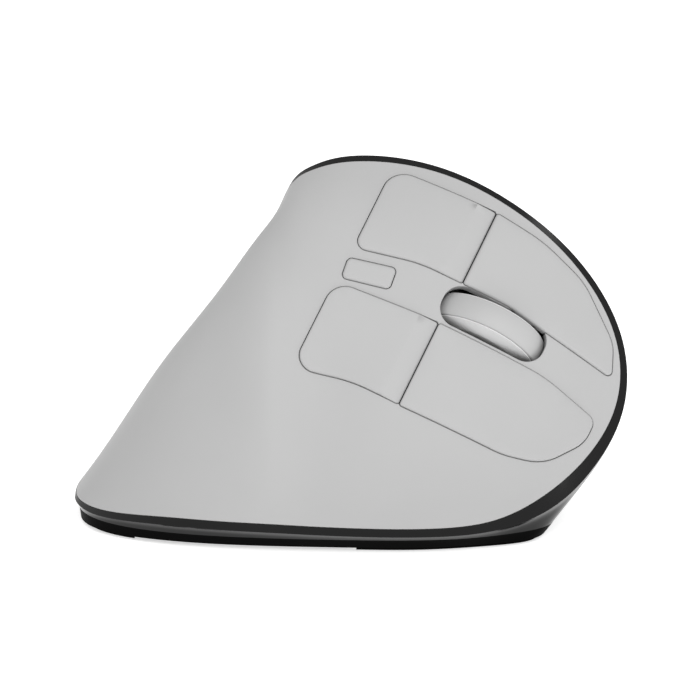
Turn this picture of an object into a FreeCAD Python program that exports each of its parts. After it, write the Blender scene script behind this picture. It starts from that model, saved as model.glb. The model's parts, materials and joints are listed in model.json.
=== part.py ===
import FreeCAD, Part
import math
import os
import Sketcher
from FreeCAD import Vector

# Right-handed upright computer mouse, millimetres, +Z up, +Y towards the front,
# +X towards the finger side.  The pads under the base rest on Z = 0.

doc = FreeCAD.newDocument("upright_mouse")

# ---------------------------------------------------------------- driving dimensions
DIMENSIONS = [
    ("base_level", 0.8, "underside of the base plate above the desk"),
    ("base_top", 2.8, "top of the base plate, where the side shell stands"),
    ("panel_wall", 2.2, "thickness of the finger panel"),
    ("shell_wall", 2.6, "thickness of the side shell"),
    ("panel_gap", 0.1, "assembly gap around and under the finger panel"),
    ("lip_height", 1.5, "locating lip on the base plate"),
    ("origin_x", 0.94, "shift that puts the whole body's box on the origin, across"),
    ("origin_y", 0.06, "shift that puts the whole body's box on the origin, along"),
    ("strip_pitch", 25.2, "degrees that the button strip runs down towards the front"),
    ("key_raise", 0.45, "height of the button caps above the panel"),
    ("key_depth", 1.7, "depth of the button caps below the panel surface"),
    ("key_gap", 0.18, "gap around each button cap"),
    ("key_round", 0.5, "edge radius of the button caps"),
    ("ramp_angle", 9.0, "degrees that the rear caps slope into the split line"),
    ("ramp_length", 4.2, "length of that slope"),
    ("hinge_pin_radius", 0.75, "button hinge pins"),
    ("running_gap", 0.05, "radial clearance of a running fit"),
    ("lug_radius", 1.6, "hinge lugs on the button caps"),
    ("lug_width", 3.0, "hinge lugs across"),
    ("ear_width", 2.1, "key frame ears across"),
    ("side_play", 0.3, "gap between a lug and its ear"),
    ("frame_top", -10.8, "top of the key frame below the key plane"),
    ("frame_thickness", 1.0, "key frame plate"),
    ("board_top", -12.0, "top of the button board below the key plane"),
    ("board_thickness", 1.6, "both circuit boards"),
    ("boss_radius", 2.2, "screw bosses on the panel"),
    ("small_screw_radius", 0.9, "screws that hold the boards"),
    ("small_head_radius", 1.8, "their heads"),
    ("small_head_height", 1.3, "their heads"),
    ("wheel_radius", 12.5, "scroll wheel outside the tyre"),
    ("wheel_show", 4.2, "scroll wheel above the panel"),
    ("tyre_width", 5.0, "scroll wheel tyre"),
    ("tyre_thickness", 1.6, "scroll wheel tyre, radially"),
    ("tyre_crown", 0.3, "how far the tread falls away at its edges"),
    ("tyre_round", 0.35, "corner radius of the tread"),
    ("hub_width", 6.9, "wheel hub at its flat sides"),
    ("hub_flat", 8.0, "radius of the hub's flat sides"),
    ("hub_flange", 11.7, "radius of the flanges beside the tyre"),
    ("flange_width", 0.2, "flanges at their edge"),
    ("axle_radius", 1.0, "wheel axle"),
    ("slot_length", 22.8, "wheel slot in the panel"),
    ("slot_width", 8.9, "wheel slot in the panel"),
    ("slot_round", 4.0, "corner radius of the wheel slot"),
    ("rail_offset", 4.3, "inner face of the carrier's rails from the wheel's middle"),
    ("rail_width", 1.3, "carrier rails across"),
    ("rail_height", 2.2, "carrier rails"),
    ("bearing_radius", 2.2, "bearing bosses on the carrier's rails"),
    ("tab_top", -6.0, "top of the carrier's tabs below the key plane"),
    ("tab_thickness", 1.2, "carrier's tabs"),
    ("post_radius", 0.7, "guide posts for the carrier"),
    ("click_travel", 0.5, "travel of the wheel when it is pressed"),
    ("spring_radius", 1.4, "mean radius of the carrier spring"),
    ("spring_wire", 0.2, "wire radius of the carrier spring"),
    ("encoder_width", 8.0, "scroll encoder along the strip"),
    ("encoder_height", 9.0, "scroll encoder across its shaft"),
    ("encoder_depth", 4.0, "scroll encoder along its shaft"),
    ("rotor_radius", 2.1, "rotor of the scroll encoder"),
    ("micro_length", 12.8, "click switch"),
    ("micro_width", 5.8, "click switch"),
    ("micro_height", 6.5, "click switch"),
    ("tact_side", 6.0, "push switch, square"),
    ("tact_height", 3.5, "push switch housing"),
    ("battery_radius", 7.25, "AA cell"),
    ("battery_length", 50.5, "AA cell with its nib"),
    ("battery_x", -14.5, "axis of the cell"),
    ("battery_y", -6.0, "middle of the cell"),
    ("battery_z", 10.45, "axis of the cell"),
    ("door_width", 16.6, "battery door"),
    ("door_top", 2.6, "top of the battery door"),
    ("door_front", 20.0, "front end of the battery door"),
    ("door_tongue", 0.9, "tongues along the battery door"),
    ("door_play", 0.25, "gap around the battery door"),
    ("main_length", 51.0, "main board along the mouse"),
    ("main_width", 26.0, "main board across"),
    ("main_x", 11.25, "middle of the main board"),
    ("main_y", 3.5, "middle of the main board"),
    ("main_level", 6.0, "underside of the main board"),
    ("sensor_x", 8.0, "optical sensor"),
    ("sensor_y", 6.0, "optical sensor"),
    ("case_screw_radius", 1.1, "case screws"),
    ("case_head_radius", 2.4, "case screw heads"),
    ("case_head_height", 1.1, "case screw heads"),
    ("case_boss_radius", 2.75, "bosses for the case screws"),
    ("case_boss_height", 9.0, "bosses for the case screws"),
    ("case_rib", 2.4, "width of the ribs that tie those bosses to the wall"),
    ("case_bite", 4.6, "depth of the screw holes in the bosses"),
    ("dock_length", 19.3, "receiver dock across the mouse"),
    ("dock_width", 15.0, "receiver dock along the mouse"),
    ("dock_x", 7.6, "middle of the receiver dock"),
    ("dock_y", -34.0, "middle of the receiver dock"),
    ("receiver_play", 0.25, "gap around the stored receiver"),
    ("foot_inset", 1.4, "pads inside the edge of the base"),
    ("foot_width", 7.5, "width of the pads"),
    ("power_x", 18.0, "power switch"),
    ("power_y", -13.0, "power switch"),
]

sheet = doc.addObject("Spreadsheet::Sheet", "sizes")
for row, (alias, value, note) in enumerate(DIMENSIONS, start=1):
    sheet.set("A%d" % row, note)
    sheet.set("B%d" % row, str(value))
    sheet.setAlias("B%d" % row, alias)
doc.recompute()


def size(alias):
    return float(sheet.get(alias))


# Side of the body, seen station by station around it: the rim corner, the point of the
# footprint below it, how far the side is hollowed, the depth of the rim's own wall, the
# width of the dark rim and the direction in which the rim's wall runs on past the corner.
FINGER = (0.825, 0.0, 0.565)
STATIONS = [
    ((8.5, -55.5, 3.8), (7.6, -54.2), 0.0, 0.8, 0.4, (0.35, -0.45, 0.82)),
    ((21.6, -51.3, 4.6), (20.6, -50.9), 0.0, 0.8, 1.3, (0.6, -0.3, 0.74)),
    ((31.0, -38.5, 5.0), (28.4, -38.2), 0.0, 0.8, 1.7, FINGER),
    ((35.4, -20.0, 4.7), (32.3, -20.0), 0.0, 0.8, 1.8, FINGER),
    ((36.8, 0.0, 4.1), (33.8, 0.0), 0.0, 0.8, 1.8, FINGER),
    ((36.6, 16.0, 3.9), (33.9, 15.0), 0.0, 0.8, 1.8, FINGER),
    ((34.2, 28.5, 4.5), (31.6, 27.0), 0.0, 0.8, 2.1, FINGER),
    ((29.1, 40.0, 8.0), (28.6, 35.2), 0.0, 1.5, 2.9, FINGER),
    ((21.4, 49.0, 14.9), (23.6, 38.8), 0.0, 2.5, 2.3, FINGER),
    ((12.4, 55.2, 24.8), (15.5, 39.8), 0.0, 3.5, 1.6, FINGER),
    ((4.8, 55.2, 36.2), (7.0, 39.8), 0.0, 4.5, 1.3, FINGER),
    ((-3.1, 46.4, 50.0), (-4.5, 38.4), 0.0, 5.0, 1.2, FINGER),
    ((-8.2, 33.0, 60.2), (-17.5, 33.0), 2.0, 5.0, 1.1, FINGER),
    ((-11.3, 17.0, 67.6), (-28.5, 21.0), 5.0, 5.0, 1.2, FINGER),
    ((-12.1, 5.0, 69.7), (-33.3, 7.0), 7.0, 5.0, 1.3, FINGER),
    ((-13.1, -4.0, 68.5), (-34.3, -2.0), 7.0, 4.8, 1.3, (0.75, -0.05, 0.65)),
    ((-14.3, -11.3, 64.8), (-34.7, -11.0), 6.8, 4.5, 1.1, (0.5, -0.15, 0.85)),
    ((-16.6, -16.2, 58.3), (-34.0, -20.0), 5.0, 4.0, 0.8, (0.05, -0.3, 0.95)),
    ((-20.0, -27.0, 36.0), (-30.5, -32.0), 2.0, 3.0, 1.1, (-0.45, -0.4, 0.8)),
    ((-21.5, -40.0, 16.5), (-22.5, -42.5), 0.0, 2.0, 0.8, (-0.45, -0.5, 0.74)),
    ((-10.5, -51.8, 5.6), (-9.5, -50.2), 0.0, 1.0, 0.4, (-0.15, -0.6, 0.78)),
]
APEX = (75.0, -5.0, 95.0)

# Ribs of the finger face: the place along the body, then (x, z) points of the section.
RIBS = {
    -64: [(24, -16), (14, -9.5), (8, -7.5), (2, -6.5), (-3, -6.5), (-8, -8), (-14, -12),
          (-24, -22), (-52, -50)],
    -50: [(33, -4), (21.5, 4.3), (14, 8.6), (5, 11), (-3, 11), (-9, 9.2), (-15, 6),
          (-26, -2), (-54, -26)],
    -38: [(40, -3), (31.2, 4.3), (21, 14.4), (10, 24), (0, 28.8), (-8, 27.8), (-17, 23.2),
          (-27, 16), (-55, -6)],
    -26: [(43, -3), (34.4, 4.4), (22, 19.5), (10, 34.5), (0, 43), (-8, 43.6), (-16, 39.5),
          (-26, 31), (-55, 5)],
    -16: [(45, -3.5), (36, 4), (24, 20.5), (10, 42), (-2, 54.3), (-10.5, 56.8), (-18, 54),
          (-28, 49), (-56, 31)],
    -12: [(45, -3.7), (36.4, 3.9), (25.5, 17.6), (13, 36.8), (1, 53.6), (-7.8, 61.2),
          (-15, 63.6), (-26, 63.5), (-56, 60)],
    -8: [(45, -3.8), (36.7, 3.7), (27, 15), (16, 31), (4, 50.3), (-5, 61.6), (-12.4, 66.8),
         (-24, 71), (-56, 78)],
    3: [(45, -4), (36.9, 3.6), (28, 13.5), (19, 27), (9, 43), (-1, 58), (-11.4, 69.3),
        (-24, 80), (-56, 104)],
}
FRONT_RIBS = (17, 32, 46, 58, 70)
FRONT_BOW = 0.0053
BOW_START = 8

# Outlines in the key plane: (along the strip, across it, corner radius).
KEY_ORIGIN = (8.9, 28.05, 39.76)
OUTLINES = {
    "left_button": [(-8.45, 22.4, 0.5), (2.5, 21.3, 30), (13.5, 17.9, 16), (24.2, 9.4, 8),
                    (26.9, 2.5, 1.0), (10.0, 4.3, 30), (2.0, 5.4, 20), (-8.45, 5.3, 0.5)],
    "right_button": [(-9.2, -4.5, 0.5), (14.5, -4.6, 30), (27.4, -7.4, 2), (27.4, -12.8, 8),
                     (21.6, -21.2, 10), (13.5, -23.4, 18), (-9.2, -23.4, 0.5)],
    "forward_button": [(-8.7, 22.5, 0.5), (-8.7, 5.3, 0.5), (-18.0, 5.4, 30),
                       (-31.3, 2.8, 2.0), (-31.3, 22.2, 4.5)],
    "back_button": [(-9.45, -4.4, 0.5), (-9.45, -23.3, 0.5), (-20.0, -22.8, 30),
                    (-31.6, -25.0, 3.5), (-31.6, -5.4, 4.0)],
    "dpi_button": [(-21.7, 2.3, 1.0), (-21.2, -2.3, 1.0), (-30.8, -4.1, 1.0),
                   (-31.3, 0.3, 1.0)],
}
# Hinge line (along, height), lug centres across, and the boss over the switch.
HINGED = {
    "left_button": dict(hinge=(-6.0, -5.4), lugs=(10.5, 15.5), press=(6.7, 13.5, -4.7)),
    "right_button": dict(hinge=(-6.6, -5.4), lugs=(-14.5, -9.0), press=(6.7, -13.9, -4.7)),
    "forward_button": dict(hinge=(-28.8, -8.0), lugs=(8.5, 15.5), press=(-14.0, 12.5, -4.3)),
    "back_button": dict(hinge=(-28.8, -8.8), lugs=(-14.5, -8.5), press=(-14.0, -13.5, -4.9)),
}
RAMPED = {"forward_button": -8.7, "back_button": -9.45}
PRESS_GAP = 0.08
SWITCHES = {
    "left": ("micro", 4.0, 13.5, -4.78),
    "right": ("micro", 4.0, -13.9, -4.78),
    "forward": ("tact", -14.0, 12.5, -4.38),
    "back": ("tact", -14.0, -13.5, -4.98),
    "dpi": ("tact", -26.3, -0.9, -7.3),
    "wheel": ("tact", 8.2, -7.98, -7.28),
}
MICRO_PLUNGER_OFFSET = 2.7
PANEL_BOSSES = [(-16.6, 0.4), (17.6, -0.7), (-35.5, -10.0), (-35.5, 9.0)]
BOARD_OUTLINE = [(-39, -14, 2), (-39, 12, 2), (-31, 18.5, 3), (-2, 18.5, 3), (12, 12, 4),
                 (20.5, 4, 2), (20.5, -8, 2), (13, -18.5, 4), (-30, -18.5, 4)]
WHEEL_MIDDLE = (0.6, 0.65)
GUIDE_POSTS = [(8.2, 8.0), (-11.0, 8.0)]
CASE_SCREWS = [(28.6, 2.0), (28.0, 24.6), (16.6, -46.0), (-29.6, 2.0), (-28.0, -27.0)]
BOARD_SCREWS = [(0.6, -19.2), (21.9, -19.2), (0.6, 26.2), (21.9, 26.2)]


# ------------------------------------------------------------------- curve helpers
def unit(vector):
    result = Vector(vector)
    result.normalize()
    return result


def shifted(x, y, z):
    return Vector(x - size("origin_x"), y - size("origin_y"), z)


def closed_curve(points, parameters):
    curve = Part.BSplineCurve()
    curve.interpolate(Points=points, PeriodicFlag=True, Parameters=parameters)
    return curve


def open_curve(points, parameters):
    curve = Part.BSplineCurve()
    curve.interpolate(Points=points, Parameters=parameters)
    return curve


def body_envelope(inset=0.0, rim=None):
    """Closed solid inside the sides of the body, open-ended above the finger face.

    inset moves every side inwards; rim instead moves each side inwards by the width
    of the dark rim there, plus the value given."""
    count = len(STATIONS)
    corners = [shifted(*station[0]) for station in STATIONS]
    feet = [shifted(*station[1], size("base_level")) for station in STATIONS]
    rows = [[] for _ in range(6)]
    for i, (_, _, hollow, depth, width, run) in enumerate(STATIONS):
        run = unit(Vector(*run))
        along_rim = corners[(i + 1) % count] - corners[i - 1]
        along_foot = feet[(i + 1) % count] - feet[i - 1]
        rim_out = unit((along_rim - run * along_rim.dot(run)).cross(run))
        foot_out = unit(along_foot.cross(Vector(0, 0, 1)))
        distance = inset if rim is None else width + rim
        corner = corners[i] - rim_out * distance
        foot = feet[i] - foot_out * distance
        shoulder = corner - run * depth * 2
        if shoulder.z < foot.z + 0.5:
            shoulder = foot + (corner - foot) * 0.5
        low = foot + (shoulder - foot) * 0.33 - foot_out * hollow * 0.6
        high = foot + (shoulder - foot) * 0.72 - foot_out * hollow
        levels = (foot, low, high, shoulder, corner + run, corner + run * 14)
        for level, point in zip(rows, levels):
            level.append(point)
    lengths = [0.0]
    for i in range(count):
        lengths.append(lengths[-1] + (corners[(i + 1) % count] - corners[i]).Length)
    parameters = [length / lengths[-1] for length in lengths]
    curves = [closed_curve(row, parameters) for row in rows]
    apex = shifted(*APEX)
    poles = [list(line) + [apex] for line in zip(*[curve.getPoles() for curve in curves])]
    side = Part.BSplineSurface()
    side.buildFromPolesMultsKnots(poles, curves[0].getMultiplicities(), [4, 1, 1, 1, 4],
                                  curves[0].getKnots(), [0, 1, 2, 3, 4], True, False, 3, 3)
    floor = Part.Face(Part.Wire([side.vIso(side.bounds()[2]).toShape()]))
    shell = Part.makeShell([side.toShape(), floor])
    shell.sewShape()
    solid = Part.Solid(shell)
    if solid.Volume < 0:
        solid.reverse()
    return solid


def rib_points(y, section, depth):
    points = [shifted(x, y, z) for x, z in section]
    if not depth:
        return points
    moved = []
    for i, point in enumerate(points):
        ahead = points[min(i + 1, len(points) - 1)]
        along = unit(ahead - points[max(i - 1, 0)])
        moved.append(point - Vector(along.z, 0, -along.x) * depth)
    return moved


def below_face(depth=0.0):
    """Everything under the finger face, or under a copy of it sunk by depth."""
    sections = [(y, RIBS[y]) for y in sorted(RIBS)]
    for y in FRONT_RIBS:
        bow = FRONT_BOW * max(0, y - BOW_START) ** 2
        sections.append((y, [(x - bow, z) for x, z in RIBS[3]]))
    ribs = [rib_points(y, section, depth) for y, section in sections]
    count = len(ribs[0])
    around = [0.0] * count
    for rib in ribs:
        steps = [0.0]
        for i in range(1, count):
            steps.append(steps[-1] + (rib[i] - rib[i - 1]).Length ** 0.8)
        around = [total + step / steps[-1] / len(ribs) for total, step in zip(around, steps)]
    first, last = sections[0][0], sections[-1][0]
    along = [(y - first) / (last - first) for y, _ in sections]
    rib_curves = [open_curve(rib, around) for rib in ribs]
    rib_poles = [curve.getPoles() for curve in rib_curves]
    columns = [open_curve(list(column), along) for column in zip(*rib_poles)]
    face = Part.BSplineSurface()
    face.buildFromPolesMultsKnots([column.getPoles() for column in columns],
                                  rib_curves[0].getMultiplicities(),
                                  columns[0].getMultiplicities(),
                                  rib_curves[0].getKnots(), columns[0].getKnots(),
                                  False, False, 3, 3)
    return face, face.toShape().extrude(Vector(0, 0, -150))


FACE, BELOW = below_face()
BODY = body_envelope()


def key_placement():
    """Frame of the button strip: X along it, Y up the face, Z out of the face."""
    origin = shifted(*KEY_ORIGIN)
    outward = FACE.normal(*FACE.parameter(origin))
    if outward.x < 0:
        outward = -outward
    level = unit(Vector(0, 1, 0) - outward * outward.y)
    turn = FreeCAD.Rotation(outward, -size("strip_pitch"))
    along = turn.multVec(level)
    rotation = FreeCAD.Rotation(along, outward.cross(along), outward, "ZXY")
    return FreeCAD.Placement(origin, rotation)


KEY = key_placement()


def in_key_plane(shape):
    shape.Placement = KEY
    return shape


def rounded_wire(corners, grow=0.0, level=0.0):
    """Closed outline with rounded corners, grown outwards, at a height of the key frame."""
    points = [Vector(x, y, level) for x, y, _ in corners]
    radii = [radius for _, _, radius in corners]
    count = len(points)
    edges = []
    ends = []
    for i, point in enumerate(points):
        back = unit(points[i - 1] - point)
        ahead = unit(points[(i + 1) % count] - point)
        inside = unit(back + ahead)
        half = back.getAngle(ahead) / 2
        reach = radii[i] / math.tan(half)
        centre = point + inside * (radii[i] / math.sin(half))
        ends.append((point + back * reach, centre - inside * radii[i], point + ahead * reach))
    for i, (start, middle, end) in enumerate(ends):
        edges.append(Part.Arc(start, middle, end).toShape())
        following = ends[(i + 1) % count][0]
        if end.distanceToPoint(following) > 1e-4:
            edges.append(Part.LineSegment(end, following).toShape())
    wire = Part.Wire(edges)
    return wire.makeOffset2D(grow) if grow else wire


def column(corners, grow=0.0, low=-30.0, high=8.0):
    face = Part.Face(rounded_wire(corners, grow, low))
    return in_key_plane(face.extrude(Vector(0, 0, high - low)))


def key_cylinder(x, y, radius, low, high):
    return in_key_plane(Part.makeCylinder(radius, high - low, Vector(x, y, low)))


def key_box(x_low, x_high, y_low, y_high, low, high):
    corner = Vector(x_low, y_low, low)
    return in_key_plane(Part.makeBox(x_high - x_low, y_high - y_low, high - low, corner))


def slab(low, high, x_low=-90, x_high=90, y_low=-90, y_high=90):
    return Part.makeBox(x_high - x_low, y_high - y_low, high - low,
                        Vector(x_low, y_low, low))


# ---------------------------------------------------------------- document helpers
NODES = []


def keep(feature, name, placement=None):
    feature.Label = name
    if placement is not None:
        feature.Placement = placement
    NODES.append(feature)
    return feature


def largest(shape):
    return max(shape.Solids, key=lambda solid: solid.Volume)


def keep_shape(name, shape):
    feature = doc.addObject("Part::Feature", name)
    feature.Shape = shape
    return keep(feature, name)


def bind(feature, prop, value):
    feature.setExpression(prop, str(value))


def box(name, lengths, corner):
    feature = doc.addObject("Part::Box", name)
    for prop, value in zip(("Length", "Width", "Height"), lengths):
        bind(feature, prop, value)
    for prop, value in zip("xyz", corner):
        bind(feature, "Placement.Base." + prop, value)
    return feature


def cylinder(name, radius, height, base, axis=(0, 0, 1)):
    feature = doc.addObject("Part::Cylinder", name)
    bind(feature, "Radius", radius)
    bind(feature, "Height", height)
    feature.Placement.Rotation = FreeCAD.Rotation(Vector(0, 0, 1), Vector(*axis))
    for prop, value in zip("xyz", base):
        bind(feature, "Placement.Base." + prop, value)
    return feature


def fuse(name, *features):
    feature = doc.addObject("Part::MultiFuse", name)
    feature.Shapes = list(features)
    return feature


def cut(name, base, *tools):
    feature = doc.addObject("Part::Cut", name)
    feature.Base = base
    feature.Tool = tools[0] if len(tools) == 1 else fuse(name + "_tools", *tools)
    return feature


def group(name, *features):
    feature = doc.addObject("Part::Compound", name)
    feature.Links = list(features)
    return feature


def new_body(name, placement=None):
    body = doc.addObject("PartDesign::Body", name)
    keep(body, name, placement)
    return body


def sketch_on(body, name, role="XY_Plane", lift="0"):
    sketch = body.newObject("Sketcher::SketchObject", name)
    plane = next(part for part in body.Origin.OriginFeatures if part.Role == role)
    sketch.AttachmentSupport = [(plane, "")]
    sketch.MapMode = "FlatFace"
    bind(sketch, "AttachmentOffset.Base.z", lift)
    return sketch


def sketch_rectangle(sketch, width, depth):
    half_x = float(sheet.evalExpression(width)) / 2
    half_y = float(sheet.evalExpression(depth)) / 2
    corners = [Vector(-half_x, -half_y, 0), Vector(half_x, -half_y, 0),
               Vector(half_x, half_y, 0), Vector(-half_x, half_y, 0)]
    for i in range(4):
        sketch.addGeometry(Part.LineSegment(corners[i], corners[(i + 1) % 4]), False)
    for i in range(4):
        sketch.addConstraint(Sketcher.Constraint("Coincident", i, 2, (i + 1) % 4, 1))
        sketch.addConstraint(Sketcher.Constraint("Vertical" if i % 2 else "Horizontal", i))
    sketch.addConstraint(Sketcher.Constraint("Symmetric", 0, 1, 1, 2, -1, 1))
    across = sketch.addConstraint(Sketcher.Constraint("DistanceX", 0, 1, 0, 2, 2 * half_x))
    along = sketch.addConstraint(Sketcher.Constraint("DistanceY", 1, 1, 1, 2, 2 * half_y))
    bind(sketch, "Constraints[%d]" % across, width)
    bind(sketch, "Constraints[%d]" % along, depth)


def sketch_circle(sketch, radius):
    value = float(sheet.evalExpression(radius))
    sketch.addGeometry(Part.Circle(Vector(0, 0, 0), Vector(0, 0, 1), value), False)
    sketch.addConstraint(Sketcher.Constraint("Coincident", 0, 3, -1, 1))
    bind(sketch, "Constraints[%d]" % sketch.addConstraint(
        Sketcher.Constraint("Radius", 0, value)), radius)


def sketch_profile(sketch, points):
    """Closed outline of straight edges, held where its points are."""
    count = len(points)
    for i in range(count):
        start = Vector(points[i][0], points[i][1], 0)
        end = Vector(points[(i + 1) % count][0], points[(i + 1) % count][1], 0)
        sketch.addGeometry(Part.LineSegment(start, end), False)
    for i in range(count):
        sketch.addConstraint(Sketcher.Constraint("Coincident", i, 2, (i + 1) % count, 1))
    for i in range(count):
        sketch.addConstraint(Sketcher.Constraint("Block", i))


def pad(body, sketch, length, name):
    feature = body.newObject("PartDesign::Pad", name)
    feature.Profile = sketch
    bind(feature, "Length", length)
    return feature


def pocket(body, sketch, length, name, reverse=False):
    doc.recompute()
    before = body.Shape.Volume
    feature = body.newObject("PartDesign::Pocket", name)
    feature.Profile = sketch
    feature.Reversed = reverse
    bind(feature, "Length", length)
    doc.recompute()
    if body.Shape.Volume >= before:
        raise RuntimeError(name + " cuts nothing")
    return feature


def revolve(body, sketch, name, axis="V_Axis"):
    feature = body.newObject("PartDesign::Revolution", name)
    feature.Profile = sketch
    feature.ReferenceAxis = (sketch, [axis])
    feature.Angle = 360
    return feature


def at(x, y, z, rotation=None):
    return FreeCAD.Placement(Vector(x, y, z), rotation or FreeCAD.Rotation())


def in_key(x, y, z, rotation=None):
    return KEY.multiply(at(x, y, z, rotation))


# ------------------------------------------------------------------------ casing
WHEEL_SLOT = [
    (WHEEL_MIDDLE[0] + side_x * size("slot_length") / 2,
     WHEEL_MIDDLE[1] + side_y * size("slot_width") / 2, size("slot_round"))
    for side_x, side_y in ((1, 1), (-1, 1), (-1, -1), (1, -1))
]


def screw_rib(x, y, play=0.0):
    """Rib from a screw boss out to the side wall, or the room it needs."""
    foot = Vector(x, y, size("base_top"))
    half = size("case_rib") / 2 + play
    rib = Part.makeBox(8, 2 * half, size("case_boss_height"), foot - Vector(0, half, 0))
    rib.rotate(foot, Vector(0, 0, 1), math.degrees(math.atan2(y, x)))
    return rib


def side_shell():
    wall = size("shell_wall")
    gap = size("panel_gap")
    seat = size("panel_wall") + gap
    below_seat = below_face(seat)[1]
    outer = BODY.common(BELOW)
    panel_room = body_envelope(rim=0.0).cut(below_seat)
    cavity = body_envelope(inset=wall).common(below_seat)
    shell = outer.cut(panel_room).cut(cavity)
    shell = shell.cut(slab(-5, size("base_top")))
    room = body_envelope(inset=wall * 0.6).common(below_face(seat + 0.9)[1])
    bosses = []
    for x, y in CASE_SCREWS:
        foot = Vector(x, y, size("base_top"))
        boss = Part.makeCylinder(size("case_boss_radius"), size("case_boss_height"), foot)
        bosses.append(boss.fuse(screw_rib(x, y)).common(room))
    shell = shell.fuse(bosses)
    skin = body_envelope(inset=wall / 2)
    holes = [Part.makeCylinder(size("case_screw_radius"), size("case_bite"),
                               Vector(x, y, size("base_top"))).common(skin)
             for x, y in CASE_SCREWS]
    keep_shape("side_shell", shell.cut(holes).removeSplitter())


def face_panel():
    wall = size("panel_wall")
    panel = body_envelope(rim=size("panel_gap")).common(BELOW).cut(below_face(wall)[1])
    openings = [column(outline, size("key_gap")) for outline in OUTLINES.values()]
    panel = panel.cut(openings + [column(WHEEL_SLOT)])
    under = below_face(wall / 2)[1]
    low = size("frame_top")
    bosses = [key_cylinder(x, y, size("boss_radius"), low, 4) for x, y in PANEL_BOSSES]
    panel = panel.fuse([boss.common(under) for boss in bosses])
    holes = [key_cylinder(x, y, size("small_screw_radius"), low - 1, low + 4.4)
             for x, y in PANEL_BOSSES]
    keep_shape("face_panel", largest(panel.cut(holes).removeSplitter()))


def base_plate():
    level = size("base_level")
    top = size("base_top")
    wall = size("shell_wall")
    plate = BODY.common(slab(level - 1, top))
    lip = body_envelope(inset=wall + 0.2).cut(body_envelope(inset=wall + 1.2))
    lip = lip.common(slab(top, top + size("lip_height")))
    lip = lip.common(below_face(size("panel_wall") + 0.6)[1])
    lip_gaps = [Part.makeCylinder(size("case_boss_radius") + 1.6, 9, Vector(x, y, top))
                for x, y in CASE_SCREWS]
    lip_gaps += [screw_rib(x, y, 0.6) for x, y in CASE_SCREWS]
    plate = plate.fuse(lip.cut(lip_gaps))

    middle = size("battery_x")
    half = size("door_width") / 2 + size("door_play")
    groove = half + size("door_tongue") + 0.1
    front = size("door_front") + size("door_play")
    rear = size("battery_y") - size("battery_length") / 2 - 5.2
    plate = plate.cut([slab(0, top + 4, middle - half, middle + half, -70, front),
                       slab(1.3, 2.15, middle - groove, middle + groove, -70, front)])
    cage = [slab(top, 9.5, middle - half - 1.4, middle - half - 0.2, rear - 1.2, front + 1.4),
            slab(top, 9.5, middle + half + 0.2, middle + half + 1.4, rear - 1.2, front + 1.4),
            slab(top, 15, middle - half - 1.4, middle + half + 1.4, front + 0.2, front + 1.4),
            slab(top, 15, middle - half - 1.4, middle + half + 1.4, rear - 1.2, rear)]
    for y in (-22.0, 8.0):
        cage.append(slab(9.0, 19.2, middle - half - 1.4, middle + half + 1.4, y, y + 2))
    cell = Part.makeCylinder(size("battery_radius") + 0.35, 80,
                             Vector(middle, rear, size("battery_z")), Vector(0, 1, 0))
    cell = cell.common(slab(0, 30, -90, 90, rear, front + 0.2))
    bay = slab(0, size("battery_z"), middle - 7.6, middle + 7.6, rear, front + 0.2)
    inside = body_envelope(inset=wall + 0.4).common(below_face(size("panel_wall") + 0.6)[1])
    for part in cage:
        plate = plate.fuse(part.cut([cell, bay]).common(inside))

    dock = slab(top, 8.6, size("dock_x") - size("dock_length") / 2 - 1.2,
                size("dock_x") + size("dock_length") / 2 + 1.2,
                size("dock_y") - size("dock_width") / 2 - 1.2,
                size("dock_y") + size("dock_width") / 2 + 1.2)
    dock_room = slab(0, 7.5, size("dock_x") - size("dock_length") / 2,
                     size("dock_x") + size("dock_length") / 2,
                     size("dock_y") - size("dock_width") / 2,
                     size("dock_y") + size("dock_width") / 2)
    nail_notch = Part.makeCylinder(5, 1.0, Vector(size("dock_x"),
                                                  size("dock_y") + size("dock_width") / 2,
                                                  level))
    plate = plate.fuse(dock).cut([dock_room, nail_notch])

    posts = []
    for x, y in BOARD_SCREWS:
        post = Part.makeCylinder(2.4, size("main_level") - top, Vector(x, y, top))
        hole = Part.makeCylinder(size("small_screw_radius"), size("main_level") - top - 0.4,
                                 Vector(x, y, top + 0.4))
        posts.append(post.cut(hole))
    plate = plate.fuse(posts)

    screw_room = []
    for x, y in CASE_SCREWS:
        screw_room.append(Part.makeCylinder(size("case_screw_radius") + 0.3, 9,
                                            Vector(x, y, level - 1)))
        screw_room.append(Part.makeCylinder(size("case_head_radius") + 0.2,
                                            size("case_head_height") + 0.1,
                                            Vector(x, y, level)))
    window = slab(level - 1, top + 1, size("sensor_x") - 5, size("sensor_x") + 5,
                  size("sensor_y") - 4, size("sensor_y") + 4)
    halo = Part.makeCylinder(9, 0.5, Vector(size("sensor_x"), size("sensor_y"), level))
    knob_slot = slab(level - 1, top + 1, size("power_x") - 3, size("power_x") + 3,
                     size("power_y") - 1.5, size("power_y") + 1.5)
    knob_dish = slab(level - 1, level + 0.7, size("power_x") - 4.4, size("power_x") + 4.4,
                     size("power_y") - 2.7, size("power_y") + 2.7)
    plate = plate.cut(screw_room + [window, halo, knob_slot, knob_dish])
    keep_shape("base_plate", plate.removeSplitter())


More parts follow.
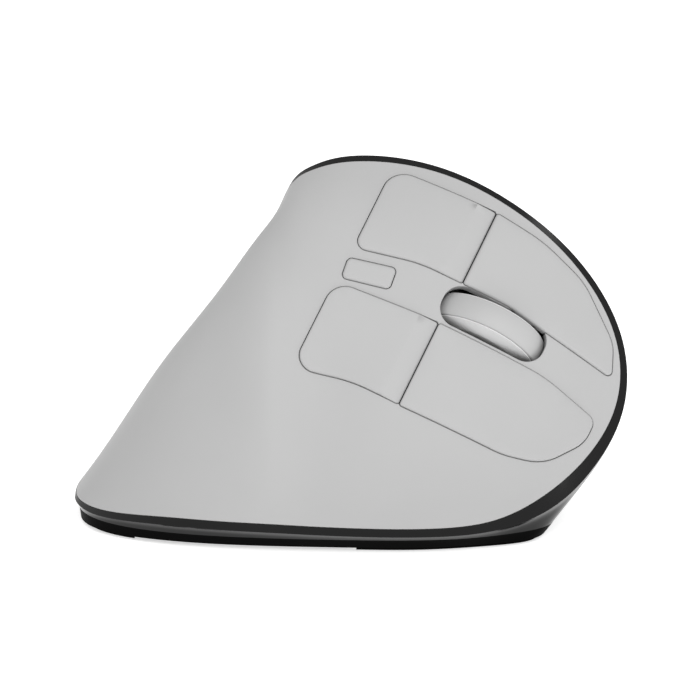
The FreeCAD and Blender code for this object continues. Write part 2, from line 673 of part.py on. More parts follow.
def feet():
    level = size("base_level")
    near = size("foot_inset")
    ring = body_envelope(inset=near).cut(body_envelope(inset=near + size("foot_width")))
    ring = ring.common(slab(level, level + 0.4))
    outline = max(ring.Faces, key=lambda face: face.Area if face.BoundBox.ZLength < 1e-3
                  and face.CenterOfMass.z < level + 0.2 else 0)
    band = outline.extrude(Vector(0, 0, -level))
    front = slab(-2, 3, -90, 90, 0, 90)
    front.rotate(Vector(36, 5, 0), Vector(0, 0, 1), -17.5)
    keep_shape("front_foot", band.common(front))
    rear = slab(-2, 3, -3.5, 60, -90, -43)
    keep_shape("rear_foot", band.common(rear))


def battery_door():
    level = size("base_level")
    middle = size("battery_x")
    half = size("door_width") / 2
    front = size("door_front")
    top = size("door_top")
    plate = slab(level - 1, top, middle - half, middle + half, -70, front)
    tongues = slab(1.4, 2.05, middle - half - size("door_tongue"),
                   middle + half + size("door_tongue"), -70, front - 2)
    grips = [slab(level - 0.5, level + 0.35, middle - 4.5, middle + 4.5, y, y + 0.8)
             for y in (9.0, 10.8, 12.6, 14.4)]
    door = BODY.common(plate.fuse(tongues).removeSplitter()).cut(grips)
    keep_shape("battery_door", door)


# ----------------------------------------------------------------------- buttons
def cap(name):
    """Solid of one button cap between the raised face and its underside."""
    raised = below_face(-size("key_raise"))[1]
    solid = column(OUTLINES[name]).common(raised)
    if name in RAMPED:
        pivot = KEY.multVec(Vector(RAMPED[name] - size("ramp_length"), 0, 0))
        pivot = FACE.value(*FACE.parameter(pivot)) + KEY.Rotation.multVec(
            Vector(0, 0, size("key_raise")))
        sloped = raised.copy()
        sloped.rotate(pivot, KEY.Rotation.multVec(Vector(0, 1, 0)), size("ramp_angle"))
        solid = solid.common(sloped)
    solid = solid.cut(below_face(size("key_depth"))[1])
    top_edges = []
    for edge in solid.Edges:
        middle = edge.valueAt((edge.FirstParameter + edge.LastParameter) / 2)
        foot = FACE.value(*FACE.parameter(middle))
        if (middle - foot).dot(KEY.Rotation.multVec(Vector(0, 0, 1))) > -0.9:
            top_edges.append(edge)
    local = KEY.inverse()
    rim_edges = []
    for edge in top_edges:
        start, end = [local.multVec(vertex.Point) for vertex in (edge.Vertexes[0],
                                                                 edge.Vertexes[-1])]
        upright = abs(start.z - end.z) > 1.2
        if not upright:
            rim_edges.append(edge)
    return solid, rim_edges


def rounded_cap(name):
    solid, rim_edges = cap(name)
    for radius in (size("key_round"), size("key_round") * 0.6):
        try:
            rounded = solid.makeFillet(radius, rim_edges)
            if rounded.isValid() and 0.9 * solid.Volume < rounded.Volume < solid.Volume:
                print(name, "rounded", radius)
                return rounded.Solids[0]
        except Exception:
            continue
    print(name, "not rounded")
    return solid


def hinged_button(name):
    spec = HINGED[name]
    solid = rounded_cap(name)
    below = below_face(size("key_depth") - 0.6)[1]
    hinge_x, hinge_z = spec["hinge"]
    radius = size("lug_radius")
    half = size("lug_width") / 2
    extras = []
    for y in spec["lugs"]:
        eye = Part.makeCylinder(radius, 2 * half, Vector(hinge_x, y - half, hinge_z),
                                Vector(0, 1, 0))
        arm = Part.makeBox(2 * radius, 2 * half, 12, Vector(hinge_x - radius, y - half, hinge_z))
        extras.append(in_key_plane(eye.fuse(arm)))
    x, y, z = spec["press"]
    extras.append(key_cylinder(x, y, 1.5, z + PRESS_GAP, 3))
    solid = solid.fuse([extra.common(below) for extra in extras])
    bore = Part.makeCylinder(size("hinge_pin_radius") + size("running_gap"), 60,
                             Vector(hinge_x, -30, hinge_z), Vector(0, 1, 0))
    keep_shape(name, solid.cut(in_key_plane(bore)).removeSplitter())


def dpi_button():
    solid = rounded_cap("dpi_button")
    below = below_face(size("key_depth") - 0.6)[1]
    core = column(OUTLINES["dpi_button"], -0.6, -6.0, 3).common(below)
    flange = column(OUTLINES["dpi_button"], 0.9, -6.85, -6.0)
    x, y, z = SWITCHES["dpi"][1:]
    stem = key_cylinder(x, y, 1.5, z + PRESS_GAP, -6.4)
    keep_shape("dpi_button", solid.fuse([core, flange, stem]).removeSplitter())


# --------------------------------------------------------- key frame and its board
def key_frame():
    top = size("frame_top")
    low = top - size("frame_thickness")
    plate = column(BOARD_OUTLINE, 0.0, low, top)
    ears = []
    holes = []
    for spec in HINGED.values():
        hinge_x, hinge_z = spec["hinge"]
        reach = size("lug_width") / 2 + size("side_play")
        for side, y in zip((-1, 1), sorted(spec["lugs"])):
            inner = y + side * reach
            outer = inner + side * size("ear_width")
            y_low, y_high = sorted((inner, outer))
            ears.append(key_box(hinge_x - 1.8, hinge_x + 1.8, y_low, y_high, low,
                                hinge_z + 1.5))
        bore = Part.makeCylinder(size("hinge_pin_radius"), 60, Vector(hinge_x, -30, hinge_z),
                                 Vector(0, 1, 0))
        lowest = min(spec["lugs"]) - reach - size("ear_width") - 0.1
        highest = max(spec["lugs"]) + reach + size("ear_width") + 0.1
        bore = bore.common(Part.makeBox(20, highest - lowest, 20,
                                        Vector(hinge_x - 10, lowest, hinge_z - 10)))
        holes.append(in_key_plane(bore))
        for y in spec["lugs"]:
            holes.append(key_box(hinge_x - 2.4, hinge_x + 2.4, y - reach, y + reach,
                                 low - 1, top + 1))
    posts = [key_cylinder(x, y, size("post_radius"), low, size("tab_top") + 1.4)
             for x, y in GUIDE_POSTS]
    spacers = [key_cylinder(x, y, 2.6, size("board_top"), top) for x, y in PANEL_BOSSES]
    frame = plate.fuse(ears + posts + spacers)
    windows = [wheel_window(0.4)]
    for kind, x, y, _ in SWITCHES.values():
        length = size("micro_length") if kind == "micro" else size("tact_side")
        width = size("micro_width") if kind == "micro" else size("tact_side")
        windows.append(key_box(x - length / 2 - 0.3, x + length / 2 + 0.3,
                               y - width / 2 - 0.3, y + width / 2 + 0.3, low - 1, top + 1))
    windows += encoder_window()
    holes += [key_cylinder(x, y, size("small_screw_radius"), -20, 0) for x, y in PANEL_BOSSES]
    keep_shape("key_frame", frame.cut(windows + holes).removeSplitter())


def wheel_window(grow):
    half_x = size("wheel_radius") + 1.0 + grow
    half_y = size("hub_width") / 2 + 0.6 + grow
    x, y = WHEEL_MIDDLE
    return key_box(x - half_x, x + half_x, y - half_y, y + half_y, -30, -9)


def encoder_window():
    x, y = WHEEL_MIDDLE
    near = y - size("rail_offset") + 0.3
    far = y - size("rail_offset") - size("rail_width") - size("encoder_depth") - 0.5
    half = size("encoder_width") / 2 + 0.5
    other = y + size("rail_offset") + size("rail_width") + 0.5
    return [key_box(x - half, x + half, far, near, -30, -9),
            key_box(x - 3.2, x + 3.2, y, other, -30, -9)]


def button_board():
    top = size("board_top")
    board = column(BOARD_OUTLINE, -0.6, top - size("board_thickness"), top)
    holes = [key_cylinder(x, y, size("small_screw_radius") + 0.1, -20, 0)
             for x, y in PANEL_BOSSES]
    keep_shape("button_board", board.cut([wheel_window(0.0)] + encoder_window() + holes))


def button_pins():
    pins = []
    for spec in HINGED.values():
        hinge_x, hinge_z = spec["hinge"]
        reach = size("lug_width") / 2 + size("side_play") + size("ear_width")
        low = min(spec["lugs"]) - reach
        high = max(spec["lugs"]) + reach
        pin = cylinder("hinge_pin", "sizes.hinge_pin_radius", high - low,
                       (hinge_x, low, hinge_z), (0, 1, 0))
        pins.append(pin)
    keep(group("button_pins", *pins), "button_pins", KEY)


def screw_group(name, places, shaft_low, shaft_length, head, placement):
    """Identical screws with a driver recess, heads down."""
    screws = []
    shaft_radius, head_radius, head_height = head
    for x, y in places:
        shaft = cylinder(name + "_shaft", shaft_radius, shaft_length, (x, y, shaft_low))
        cap_low = "%s - %s" % (shaft_low, head_height)
        top = cylinder(name + "_head", head_radius, head_height, (x, y, cap_low))
        slot = box(name + "_slot", ("%s * 1.3" % head_radius, 0.5, 0.5),
                   ("%s - %s * 0.65" % (x, head_radius), "%s - 0.25" % y, cap_low))
        cross = box(name + "_cross", (0.5, "%s * 1.3" % head_radius, 0.5),
                    ("%s - 0.25" % x, "%s - %s * 0.65" % (y, head_radius), cap_low))
        screws.append(cut(name + "_screw", fuse(name + "_blank", shaft, top), slot, cross))
    keep(group(name, *screws), name, placement)


def click_switches():
    for name, (kind, x, y, plunger_top) in SWITCHES.items():
        if kind == "micro":
            length, width, height = "sizes.micro_length", "sizes.micro_width", "sizes.micro_height"
            plunger_x = x + MICRO_PLUNGER_OFFSET
            plunger_radius = 1.0
            housing_top = size("board_top") + size("micro_height")
        else:
            length, width, height = "sizes.tact_side", "sizes.tact_side", "sizes.tact_height"
            plunger_x = x
            plunger_radius = 1.7
            housing_top = size("board_top") + size("tact_height")
        housing = new_body(name + "_switch", in_key(x, y, size("board_top")))
        outline = sketch_on(housing, name + "_housing_outline")
        sketch_rectangle(outline, length, width)
        pad(housing, outline, height, name + "_housing")
        mouth = sketch_on(housing, name + "_mouth", lift=height)
        bind(mouth, "AttachmentOffset.Base.x", plunger_x - x)
        sketch_circle(mouth, "%s + sizes.running_gap" % plunger_radius)
        pocket(housing, mouth, "1.6", name + "_well")

        sunk = 0.9
        plunger = new_body(name + "_plunger", in_key(plunger_x, y, housing_top - sunk))
        ring = sketch_on(plunger, name + "_plunger_outline")
        sketch_circle(ring, str(plunger_radius))
        pad(plunger, ring, str(round(plunger_top - housing_top + sunk, 3)), name + "_stem")


# ------------------------------------------------------------------------- wheel
WHEEL_TURN = FreeCAD.Rotation(Vector(1, 0, 0), -90)


def wheel_height():
    return size("wheel_show") - size("wheel_radius")


def on_wheel(offset=0.0):
    """Frame at the wheel's middle whose Z runs along the axle, up the face."""
    x, y = WHEEL_MIDDLE
    return in_key(x, y + offset, wheel_height(), WHEEL_TURN)


def wheel_tyre():
    radius = size("wheel_radius")
    inner = radius - size("tyre_thickness")
    half = size("tyre_width") / 2
    edge = radius - size("tyre_crown")
    curl = size("tyre_round")
    side = edge - curl
    bend = curl * (1 - math.sqrt(0.5))
    body = new_body("wheel_tyre", on_wheel())
    sketch = sketch_on(body, "tyre_section", "XZ_Plane")
    low_inner, low_side = Vector(inner, -half, 0), Vector(side, -half, 0)
    high_inner, high_side = Vector(inner, half, 0), Vector(side, half, 0)
    low_edge, high_edge = Vector(edge, curl - half, 0), Vector(edge, half - curl, 0)
    outline = [
        Part.LineSegment(low_inner, low_side),
        Part.Arc(low_side, Vector(edge - bend, bend - half, 0), low_edge),
        Part.Arc(low_edge, Vector(radius, 0, 0), high_edge),
        Part.Arc(high_edge, Vector(edge - bend, half - bend, 0), high_side),
        Part.LineSegment(high_side, high_inner),
        Part.LineSegment(high_inner, low_inner),
    ]
    for number, curve in enumerate(outline):
        sketch.addGeometry(curve, False)
        sketch.addConstraint(Sketcher.Constraint("Block", number))
    revolve(body, sketch, "tyre_ring")


def wheel_hub():
    seat = size("wheel_radius") - size("tyre_thickness")
    channel = size("tyre_width") / 2 + size("running_gap")
    lip = channel + size("flange_width")
    half = size("hub_width") / 2
    flat = size("hub_flat")
    flange = size("hub_flange")
    bore = size("axle_radius")
    section = [(bore, -half), (flat, -half), (flange, -lip), (flange, -channel),
               (seat, -channel), (seat, channel), (flange, channel), (flange, lip),
               (flat, half), (bore, half)]
    body = new_body("wheel_hub", on_wheel())
    sketch = sketch_on(body, "hub_section", "XZ_Plane")
    sketch_profile(sketch, section)
    revolve(body, sketch, "hub_disc")


def wheel_axle():
    near = size("rail_offset") + size("rail_width") + size("encoder_depth") - 0.5
    far = size("rail_offset") + size("rail_width") + 0.6
    body = new_body("wheel_axle", on_wheel(-near))
    sketch = sketch_on(body, "axle_outline")
    sketch_circle(sketch, "sizes.axle_radius")
    pad(body, sketch, str(near + far), "axle_rod")


def encoder_rotor():
    start = size("rail_offset") + size("rail_width") + size("encoder_depth") - 0.8
    body = new_body("encoder_rotor", on_wheel(-start))
    sketch = sketch_on(body, "rotor_outline")
    sketch_circle(sketch, "sizes.rotor_radius")
    pad(body, sketch, "sizes.encoder_depth - 1.6", "rotor_disc")
    bore = sketch_on(body, "rotor_bore", lift="sizes.encoder_depth - 1.6")
    sketch_circle(bore, "sizes.axle_radius")
    pocket(body, bore, "sizes.encoder_depth", "rotor_hole")


def encoder():
    back = size("rail_offset") + size("rail_width") + size("encoder_depth")
    body = new_body("encoder", on_wheel(-back))
    sketch = sketch_on(body, "encoder_outline")
    sketch_rectangle(sketch, "sizes.encoder_width", "sizes.encoder_height")
    pad(body, sketch, "sizes.encoder_depth", "encoder_case")
    well = sketch_on(body, "encoder_well", lift="sizes.encoder_depth")
    sketch_circle(well, "sizes.rotor_radius + sizes.running_gap")
    pocket(body, well, "sizes.encoder_depth - 0.4", "encoder_room")


def wheel_carrier():
    x, y = WHEEL_MIDDLE
    height = wheel_height()
    inner = size("rail_offset")
    outer = inner + size("rail_width")
    front = x + size("wheel_radius") + 1.8
    rear = x - size("wheel_radius") - 1.8
    half = size("rail_height") / 2
    parts = []
    for side in (-1, 1):
        y_low, y_high = sorted((y + side * inner, y + side * outer))
        parts.append(key_box(rear, front, y_low, y_high, height - half, height + half))
        boss = Part.makeCylinder(size("bearing_radius"), y_high - y_low,
                                 Vector(x, y_low, height), Vector(0, 1, 0))
        parts.append(in_key_plane(boss))
    for end_low, end_high in ((rear, rear + 1.2), (front - 1.2, front)):
        parts.append(key_box(end_low, end_high, y - outer, y + outer, height - half,
                             height + half))
    top = size("tab_top")
    low = top - size("tab_thickness")
    tab_y = GUIDE_POSTS[0][1]
    for post_x, _ in GUIDE_POSTS:
        parts.append(key_box(post_x - 2, post_x + 2, y + inner, tab_y + 1.5, low, top))
        parts.append(key_box(post_x - 2, post_x + 2, y + inner, y + outer, height - half, top))
    switch_x, switch_y = SWITCHES["wheel"][1:3]
    parts.append(key_box(switch_x - 2, switch_x + 2, switch_y - 1.5, y - inner, low, top))
    parts.append(key_box(switch_x - 2, switch_x + 2, y - outer, y - inner, height - half, top))
    solid = parts[0].fuse(parts[1:])
    axle_hole = Part.makeCylinder(size("axle_radius") + size("running_gap"), 20,
                                  Vector(x, y - 10, height), Vector(0, 1, 0))
    holes = [in_key_plane(axle_hole)]
    holes += [key_cylinder(post_x, post_y, size("post_radius") + 0.1, -12, 0)
              for post_x, post_y in GUIDE_POSTS]
    keep_shape("wheel_carrier", solid.cut(holes).removeSplitter())


def wheel_spring():
    low = size("frame_top") + size("spring_wire") + 0.05
    high = size("tab_top") - size("tab_thickness") - size("spring_wire") - 0.05
    coils = 4
    radius = size("spring_radius")
    helix = Part.makeLongHelix((high - low) / coils, high - low, radius)
    section = Part.Wire([Part.Circle(Vector(radius, 0, 0), Vector(0, 1, 0),
                                     size("spring_wire")).toShape()])
    spring = Part.Wire(helix.Edges).makePipeShell([section], True, True)
    x, y = GUIDE_POSTS[0]
    spring.Placement = in_key(x, y, low)
    keep_shape("wheel_spring", Part.Solid(spring) if spring.ShapeType == "Shell" else spring)


# ------------------------------------------------------------------ base contents
def battery():
    radius = size("battery_radius")
    length = size("battery_length")
    body = new_body("battery", at(size("battery_x"), size("battery_y") - length / 2,
                                  size("battery_z"), FreeCAD.Rotation(Vector(1, 0, 0), -90)))
    nib = 2.75
    nib_length = 1.3
    section = [(0, 0), (radius - 0.5, 0), (radius, 0.5), (radius, length - nib_length - 0.5),
               (radius - 0.5, length - nib_length), (nib, length - nib_length),
               (nib, length), (0, length)]
    sketch = sketch_on(body, "cell_section", "XZ_Plane")
    sketch_profile(sketch, section)
    revolve(body, sketch, "cell")


def battery_contacts():
    middle = size("battery_x")
    front = size("battery_y") + size("battery_length") / 2
    plate = box("positive_plate", (8, 0.4, 9), (middle - 4, front + 0.05, size("battery_z") - 4))
    leg = box("positive_leg", (2.5, 0.4, 3.2), (middle - 1.25, front + 0.05, 3.3))
    keep(fuse("positive_contact", plate, leg), "positive_contact")

    rear = size("battery_y") - size("battery_length") / 2
    pitch = 1.25
    turns = 3
    wire = 0.35
    helix = Part.makeLongHelix(pitch, pitch * turns, 2.6)
    section = Part.Wire([Part.Circle(Vector(2.6, 0, 0), Vector(0, 1, 0), wire).toShape()])
    coil = Part.Wire(helix.Edges).makePipeShell([section], True, True)
    coil = Part.Solid(coil) if coil.ShapeType == "Shell" else coil
    coil.Placement = at(middle, rear - wire - 0.05, size("battery_z"),
                        FreeCAD.Rotation(Vector(1, 0, 0), 90))
    wall = rear - 5.2
    backing = slab(size("battery_z") - 4.5, size("battery_z") + 4.5, middle - 4.5, middle + 4.5,
                   wall + 0.05, wall + 1.0)
    keep_shape("negative_contact", coil.fuse(backing))


def main_board():
    body = new_body("main_board", at(size("main_x"), size("main_y"), size("main_level")))
    outline = sketch_on(body, "main_outline")
    sketch_rectangle(outline, "sizes.main_width", "sizes.main_length")
    pad(body, outline, "sizes.board_thickness", "main_plate")
    window = sketch_on(body, "sensor_window", lift="sizes.board_thickness")
    bind(window, "AttachmentOffset.Base.x", "sizes.sensor_x - sizes.main_x")
    bind(window, "AttachmentOffset.Base.y", "sizes.sensor_y - sizes.main_y")
    sketch_rectangle(window, "5", "4")
    pocket(body, window, "sizes.board_thickness * 2", "sensor_cut")
    for number, (x, y) in enumerate(BOARD_SCREWS):
        hole = sketch_on(body, "screw_hole_%d" % number, lift="sizes.board_thickness")
        bind(hole, "AttachmentOffset.Base.x", "%s - sizes.main_x" % x)
        bind(hole, "AttachmentOffset.Base.y", "%s - sizes.main_y" % y)
        sketch_circle(hole, "sizes.small_screw_radius + 0.1")
        pocket(body, hole, "sizes.board_thickness * 2", "screw_cut_%d" % number)


def board_level():
    return "sizes.main_level + sizes.board_thickness"


def sensor():
    chip = box("sensor_case", (9.1, 16.2, 2.6),
               ("sizes.sensor_x - 4.55", "sizes.sensor_y - 8.1", board_level()))
    pins = []
    for side in (-1, 1):
        for number in range(4):
            pins.append(box("sensor_pin", (0.6, 0.5, 3.6),
                            ("sizes.sensor_x + %s" % (side * 4.85 - 0.3),
                             "sizes.sensor_y + %s" % (number * 3.6 - 5.65),
                             board_level())))
    keep(fuse("sensor_chip", chip, *pins), "sensor_chip")

    plate = box("lens_plate", (17, 11, 1.0),
                ("sizes.sensor_x - 8.5", "sizes.sensor_y - 5.5", "sizes.base_top"))
    nose = box("lens_nose", (8.6, 6.8, 1.3),
               ("sizes.sensor_x - 4.3", "sizes.sensor_y - 3.4", "sizes.base_top - 1.3"))
    tube = cylinder("lens_tube", 1.9, "sizes.main_level - sizes.base_top",
                    ("sizes.sensor_x", "sizes.sensor_y", "sizes.base_top"))
    keep(fuse("sensor_lens", plate, nose, tube), "sensor_lens")


def board_chips():
    controller = box("controller_chip", (7, 7, 1.0),
                     ("sizes.main_x - 2", "sizes.main_y - 18", board_level()))
    keep(controller, "controller_chip")
    parts = [box("crystal", (3.2, 2.5, 0.9),
                 ("sizes.main_x - 8", "sizes.main_y - 15", board_level())),
             box("radio_can", (8, 8, 1.6),
                 ("sizes.main_x + 4", "sizes.main_y + 8", board_level())),
             box("ribbon_socket", (4.4, 11, 3.0),
                 ("sizes.main_x - 12.4", "sizes.main_y - 14.5", board_level()))]
    for number in range(6):
        parts.append(box("capacitor", (1.3, 2.0, 1.0),
                         ("sizes.main_x + %s" % (6.0 + 2.4 * (number % 3)),
                          "sizes.main_y - %s" % (9.0 + 3.4 * (number // 3)), board_level())))
    parts.append(cylinder("reservoir", 2.0, 4.6,
                          ("sizes.main_x - 8.5", "sizes.main_y + 16", board_level())))
    keep(group("board_parts", *parts), "board_parts")


def ribbon_cable():
    """Flat cable from the back of the button board down to the main board."""
    back = size("board_top") - size("board_thickness")
    start = KEY.multVec(Vector(-31.6, -6, back - 2.0))
    socket_x = size("main_x") - 10.2
    socket_z = size("main_level") + size("board_thickness") + 3.0
    width = 8.0
    thick = 0.5
    outward = Vector(KEY.Rotation.multVec(Vector(0, 0, -1)))
    outward = unit(Vector(outward.x, 0, outward.z))
    end = Vector(socket_x, start.y, socket_z)
    knee_high = Vector(start.x, start.y, start.z) + outward * 7
    knee_low = Vector(socket_x, start.y, socket_z + 12)
    points = [Vector(start.x, start.y, start.z), knee_high, knee_low, end]
    edges = []
    last = points[0]
    for corner, following in ((points[1], points[2]), (points[2], points[3])):
        back_way = unit(last - corner)
        ahead = unit(following - corner)
        half = back_way.getAngle(ahead) / 2
        reach = min((last - corner).Length, (following - corner).Length) * 0.45
        radius = reach * math.tan(half)
        centre = corner + unit(back_way + ahead) * (radius / math.sin(half))
        arc_start = corner + back_way * reach
        arc_end = corner + ahead * reach
        arc_middle = centre - unit(back_way + ahead) * radius
        edges.append(Part.LineSegment(last, arc_start).toShape())
        edges.append(Part.Arc(arc_start, arc_middle, arc_end).toShape())
        last = arc_end
    edges.append(Part.LineSegment(last, end).toShape())
    path = Part.Wire(edges)
    tangent = unit(points[1] - points[0])
    side = tangent.cross(Vector(0, 1, 0))
    corners = [points[0] + side * a * thick / 2 + Vector(0, b * width / 2, 0)
               for a, b in ((-1, -1), (1, -1), (1, 1), (-1, 1), (-1, -1))]
    ribbon = path.makePipeShell([Part.makePolygon(corners)], True, True)
    keep_shape("ribbon_cable", ribbon)
    keep_shape("ribbon_plug", key_box(-37.2, -26, -8.2, -3.8, back - 2.4, back))


def power_switch():
    x = "sizes.power_x"
    y = "sizes.power_y"
    case = box("power_case", (9, 4.6, "sizes.main_level - sizes.base_top"),
               (x + " - 4.5", y + " - 2.3", "sizes.base_top"))
    room = box("power_room", (6, 2.4, 2.4), (x + " - 3", y + " - 1.2", "sizes.base_top"))
    keep(cut("power_switch", case, room), "power_switch")
    knob = box("power_knob", (2.6, 2.4, 1.5), (x + " - 2.75", y + " - 1.2", 1.0))
    stem = box("power_stem", (1.8, 1.8, 2.2), (x + " - 2.35", y + " - 0.9", 2.5))
    keep(fuse("power_slider", knob, stem), "power_slider")


def usb_receiver():
    play = size("receiver_play")
    length = size("dock_length") - 2 * play
    width = size("dock_width") - 2 * play
    left = size("dock_x") - length / 2
    low = 1.0
    cap_length = 6.2
    height = 6.2
    blank = box("receiver_blank", (cap_length, width, height),
                (left, size("dock_y") - width / 2, low))
    grip = doc.addObject("Part::Fillet", "receiver_soft")
    grip.Base = blank
    doc.recompute()
    grip.Edges = [(number + 1, 0.8, 0.8) for number in range(len(blank.Shape.Edges))]
    keep(grip, "receiver_cap")
    shell = box("plug_shell", (length - cap_length, 12.0, 4.5),
                (left + cap_length, size("dock_y") - 6.0, low + 0.85))
    mouth = box("plug_mouth", (length - cap_length - 1.0, 11.4, 1.9),
                (left + cap_length + 1.0, size("dock_y") - 5.7, low + 3.15))
    keep(cut("receiver_plug", shell, mouth), "receiver_plug")


side_shell()
face_panel()
base_plate()
feet()
battery_door()
for button in HINGED:
    hinged_button(button)
dpi_button()
key_frame()
button_pins()
button_board()
click_switches()
wheel_tyre()
wheel_hub()
wheel_axle()
encoder_rotor()
encoder()
wheel_carrier()
wheel_spring()
battery()
battery_contacts()
main_board()
sensor()
board_chips()
ribbon_cable()
power_switch()
usb_receiver()
screw_group("case_screws", CASE_SCREWS, "sizes.base_level + sizes.case_head_height", "4.2",
            ("sizes.case_screw_radius", "sizes.case_head_radius", "sizes.case_head_height"),
            at(0, 0, 0))
screw_group("board_screws", [(x, -y) for x, y in BOARD_SCREWS], "0", "4.4",
            ("sizes.small_screw_radius", "sizes.small_head_radius", "sizes.small_head_height"),
            at(0, 0, size("main_level") + size("board_thickness"),
               FreeCAD.Rotation(Vector(1, 0, 0), 180)))
screw_group("frame_screws", PANEL_BOSSES, "sizes.board_top - sizes.board_thickness", "6.8",
            ("sizes.small_screw_radius", "sizes.small_head_radius", "sizes.small_head_height"),
            KEY)
doc.recompute()

for feature in doc.Objects:
    if {"Invalid", "Error"} & set(feature.State):
        raise RuntimeError("%s did not rebuild: %s" % (feature.Name, feature.State))
faulty = [node.Label for node in NODES if node.Shape.isNull() or not node.Shape.isValid()]
if faulty:
    raise RuntimeError("no valid shape: " + ", ".join(faulty))

os.makedirs("parts", exist_ok=True)
for node in NODES:
    node.Shape.exportStep("parts/%s.step" % node.Label)
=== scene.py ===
import json
import math

import bpy
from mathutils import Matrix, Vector

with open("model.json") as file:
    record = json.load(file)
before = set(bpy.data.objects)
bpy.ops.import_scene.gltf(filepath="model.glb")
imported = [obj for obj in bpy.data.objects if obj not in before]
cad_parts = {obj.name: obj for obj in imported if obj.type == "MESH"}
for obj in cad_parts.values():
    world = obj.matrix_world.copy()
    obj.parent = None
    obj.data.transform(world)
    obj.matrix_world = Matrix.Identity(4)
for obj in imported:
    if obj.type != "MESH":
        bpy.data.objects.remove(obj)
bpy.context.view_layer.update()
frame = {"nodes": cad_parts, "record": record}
scene = bpy.context.scene
nodes = frame["nodes"]

# ------------------------------------------------------------------ camera
TARGET = Vector((0.01106, -0.00006, 0.0354))
ELEVATION = math.radians(15)
DISTANCE = 1.0
VIEW_WIDTH = 0.14
SENSOR = 36.0


def make_camera():
    data = bpy.data.cameras.new("camera")
    data.sensor_width = SENSOR
    data.lens = SENSOR * DISTANCE / VIEW_WIDTH
    camera = bpy.data.objects.new("camera", data)
    scene.collection.objects.link(camera)
    away = Vector((math.cos(ELEVATION), 0, math.sin(ELEVATION)))
    camera.location = TARGET + away * DISTANCE
    camera.rotation_euler = (-away).to_track_quat("-Z", "Y").to_euler()
    scene.camera = camera


make_camera()


# ------------------------------------------------------------------ stage
FLOOR_HALF = 6.0
FLOOR_LEVEL = -0.0001  # just under the pads, so the two faces don't share a plane


def make_stage():
    mesh = bpy.data.meshes.new("floor")
    corners = [(x * FLOOR_HALF, y * FLOOR_HALF, FLOOR_LEVEL)
               for x, y in ((-1, -1), (1, -1), (1, 1), (-1, 1))]
    mesh.from_pydata(corners, [], [(0, 1, 2, 3)])
    floor = bpy.data.objects.new("floor", mesh)
    scene.collection.objects.link(floor)
    material = bpy.data.materials.new("floor_paint")
    material.use_nodes = True
    shader = material.node_tree.nodes["Principled BSDF"]
    shader.inputs["Base Color"].default_value = (0.9, 0.9, 0.9, 1)
    shader.inputs["Roughness"].default_value = 0.9
    shader.inputs["Emission Color"].default_value = (1, 1, 1, 1)
    shader.inputs["Emission Strength"].default_value = 0.6
    mesh.materials.append(material)


def area_light(name, place, aim, width, height, watts):
    data = bpy.data.lights.new(name, "AREA")
    data.shape = "RECTANGLE"
    data.size = width
    data.size_y = height
    data.energy = watts
    light = bpy.data.objects.new(name, data)
    scene.collection.objects.link(light)
    light.location = place
    light.rotation_euler = (Vector(aim) - Vector(place)).to_track_quat("-Z", "Y").to_euler()


def make_lights():
    world = bpy.data.worlds.new("studio")
    scene.world = world
    world.use_nodes = True
    sky = world.node_tree.nodes["Background"]
    sky.inputs["Color"].default_value = (1, 1, 1, 1)
    sky.inputs["Strength"].default_value = 0.77
    area_light("key_panel", (1.15, 0.35, 0.95), (0, 0, 0.035), 1.4, 1.2, 12)
    scene.view_settings.view_transform = "Standard"
    scene.view_settings.look = "None"


make_stage()
make_lights()


# ------------------------------------------------------------------ materials
GRAIN = 0.00035  # size of the moulded texture
GRAIN_DETAIL = 3
GRAIN_HEIGHT = 0.2  # share of the grain's size
MOTTLE = 0.03  # share by which the colour varies
MOTTLE_SCALE = 60
MOTTLE_DETAIL = 4
EDGE_SAMPLES = 8


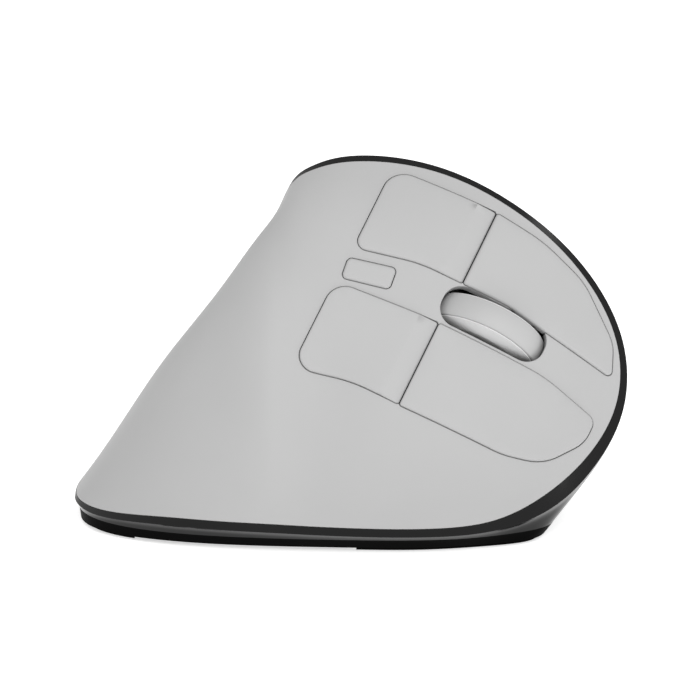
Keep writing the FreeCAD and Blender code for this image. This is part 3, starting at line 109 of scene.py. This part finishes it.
def plastic(name, colour, rough, depth=0.02, rough_spread=0.05, specular=0.5, metallic=0.0,
            edge=0.0):
    """Moulded material: fine grain, slow changes of tone and polish, and softened edges."""
    material = bpy.data.materials.new(name)
    material.use_nodes = True
    tree = material.node_tree
    shader = tree.nodes["Principled BSDF"]
    shader.inputs["Metallic"].default_value = metallic
    shader.inputs["Specular IOR Level"].default_value = specular
    place = tree.nodes.new("ShaderNodeTexCoord")

    fine = tree.nodes.new("ShaderNodeTexNoise")
    fine.inputs["Scale"].default_value = 1 / GRAIN
    fine.inputs["Detail"].default_value = GRAIN_DETAIL
    tree.links.new(place.outputs["Object"], fine.inputs["Vector"])
    bump = tree.nodes.new("ShaderNodeBump")
    bump.inputs["Strength"].default_value = depth
    bump.inputs["Distance"].default_value = GRAIN * GRAIN_HEIGHT
    tree.links.new(fine.outputs["Fac"], bump.inputs["Height"])
    tree.links.new(bump.outputs["Normal"], shader.inputs["Normal"])
    if edge:
        softened = tree.nodes.new("ShaderNodeBevel")
        softened.samples = EDGE_SAMPLES
        softened.inputs["Radius"].default_value = edge
        tree.links.new(softened.outputs["Normal"], bump.inputs["Normal"])

    broad = tree.nodes.new("ShaderNodeTexNoise")
    broad.inputs["Scale"].default_value = MOTTLE_SCALE
    broad.inputs["Detail"].default_value = MOTTLE_DETAIL
    tree.links.new(place.outputs["Object"], broad.inputs["Vector"])
    tone = tree.nodes.new("ShaderNodeValToRGB")
    low = [channel * (1 - MOTTLE) for channel in colour]
    high = [min(1, channel * (1 + MOTTLE)) for channel in colour]
    tone.color_ramp.elements[0].color = (*low, 1)
    tone.color_ramp.elements[1].color = (*high, 1)
    tree.links.new(broad.outputs["Fac"], tone.inputs["Fac"])
    tree.links.new(tone.outputs["Color"], shader.inputs["Base Color"])

    polish = tree.nodes.new("ShaderNodeMapRange")
    polish.inputs["To Min"].default_value = rough - rough_spread
    polish.inputs["To Max"].default_value = rough + rough_spread
    tree.links.new(broad.outputs["Fac"], polish.inputs["Value"])
    tree.links.new(polish.outputs["Result"], shader.inputs["Roughness"])
    return material


def grey(level):
    return (level, level, level)


MATERIALS = {
    "light_plastic": plastic("satin_grey_plastic", grey(0.4), 0.45, specular=0.3, edge=0.0003),
    "dark_gloss": plastic("gloss_black_plastic", grey(0.003), 0.14, depth=0.004,
                          rough_spread=0.03, specular=0.3),
    "dark_matte": plastic("matte_black_plastic", grey(0.0015), 0.5, depth=0.06, specular=0.02),
    "glide_pad": plastic("glide_pad", grey(0.0015), 0.5, specular=0.03),
    "wheel_rubber": plastic("grey_rubber", grey(0.41), 0.5, specular=0.3),
    # The hub is the same light grey plastic as the shell, but its grey is lifted above the
    # shell's 0.4 as painted light. This brightens the wheel's side faces, which sit in the
    # shade of the slot.
    "hub_plastic": plastic("hub_plastic", grey(0.62), 0.5),
    "plated_steel": plastic("nickel_steel", (0.7, 0.69, 0.66), 0.25, metallic=1.0),
    "frame_plastic": plastic("frame_plastic", grey(0.03), 0.5),
    "switch_plastic": plastic("switch_plastic", grey(0.02), 0.45),
    "plunger_plastic": plastic("plunger_plastic", (0.75, 0.72, 0.62), 0.4),
    "board_green": plastic("solder_mask", (0.01, 0.09, 0.03), 0.3),
    "chip_black": plastic("chip_black", grey(0.02), 0.5),
    "clear_lens": plastic("clear_lens", (0.5, 0.5, 0.5), 0.1),
    "cell_wrap": plastic("cell_wrap", (0.03, 0.1, 0.3), 0.3),
    "ribbon_white": plastic("ribbon_white", grey(0.7), 0.5),
}
for part in frame["record"]["subparts"]:
    shown = nodes[part["node"]]
    shown.data.materials.clear()
    shown.data.materials.append(MATERIALS[part["material_slot"]])

# The caps swell a little, so the seams round them read as fine lines.
CAPS = ("left_button", "right_button", "forward_button", "back_button", "dpi_button")
CAP_SWELL = 0.00004
JOIN_DISTANCE = 1e-6
for name in CAPS:
    joined = nodes[name].modifiers.new("weld", "WELD")
    joined.merge_threshold = JOIN_DISTANCE
    swell = nodes[name].modifiers.new("swell", "DISPLACE")
    swell.strength = CAP_SWELL
    swell.mid_level = 0
